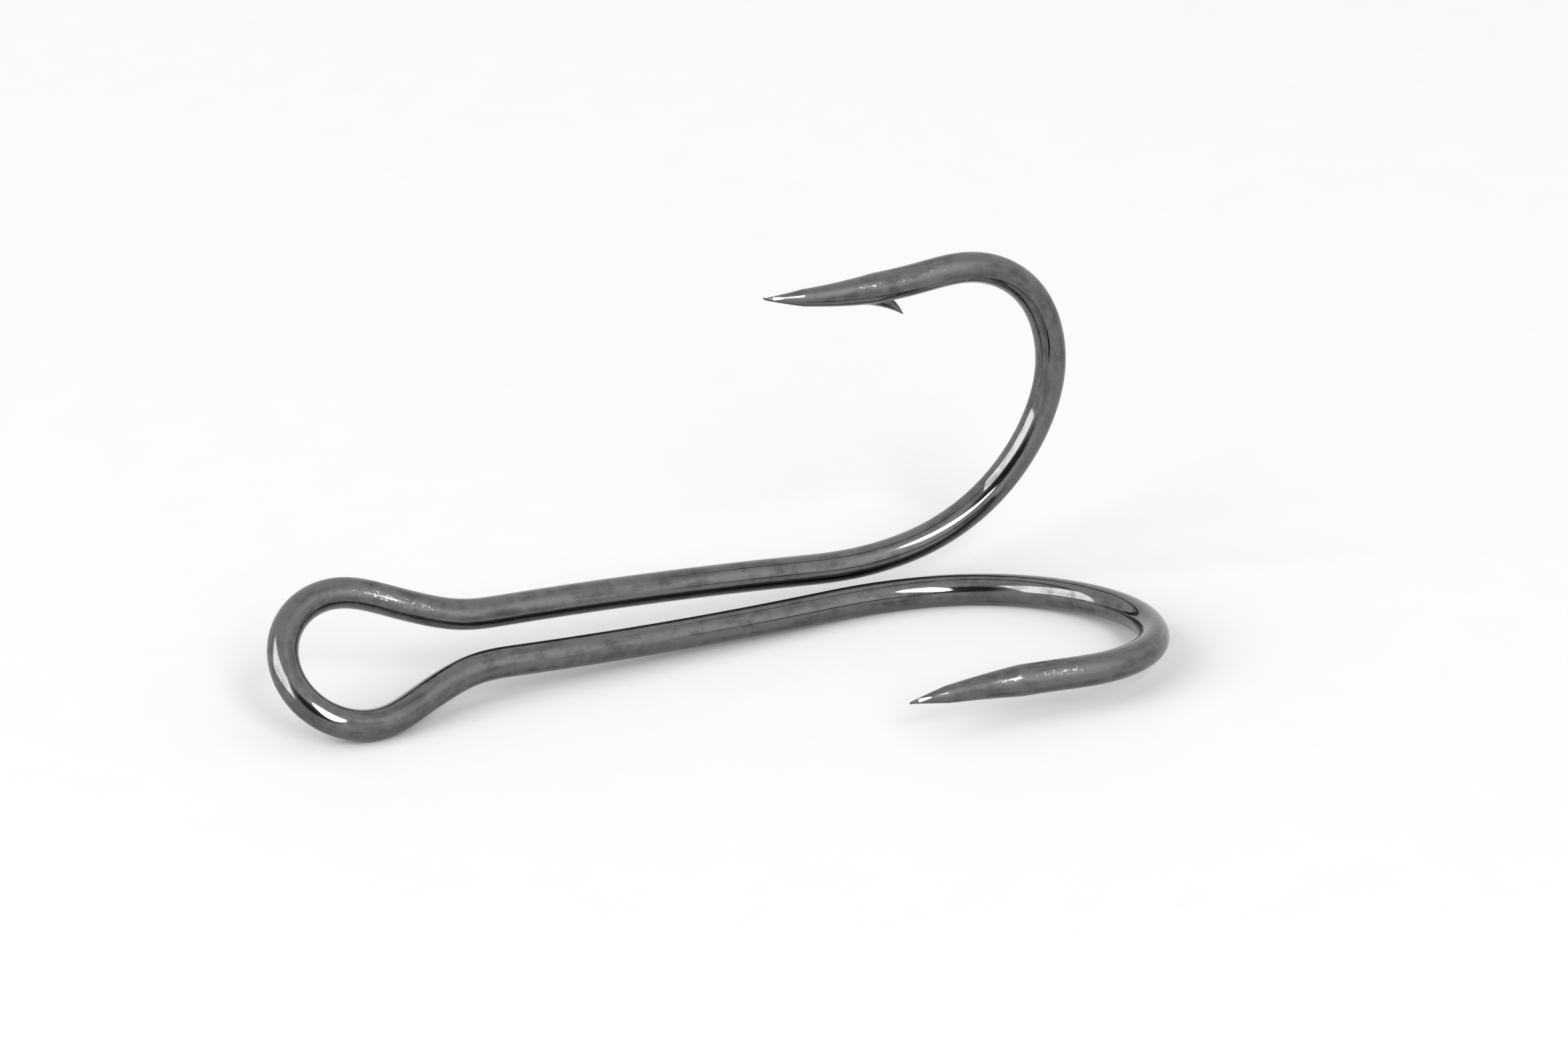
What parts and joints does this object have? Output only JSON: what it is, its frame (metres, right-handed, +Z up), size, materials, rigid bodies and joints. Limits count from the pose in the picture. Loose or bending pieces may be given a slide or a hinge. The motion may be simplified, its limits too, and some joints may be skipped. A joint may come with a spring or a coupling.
{
  "type": "double fishing hook",
  "caption": "Fishing hook bent from one steel wire: an open pear-shaped eye, parallel shanks and a pair of barbed bends.",
  "frame": {"origin": "middle of the underside of the hook's box, as the hook lies on a table on its eye and one bend", "axes": "+X along the shanks from the eye towards the bends, +Z up off the table, -Y the side to which the lying hook's point reaches"},
  "size_m": [0.0362, 0.0168, 0.015],
  "materials": {
    "blackened_nickel": "dark nickel plate, glossy, with faint drawing marks and fine pits"
  },
  "bodies": {
    "root": {"hook_wire": "blackened_nickel"}
  },
  "joints": []
}
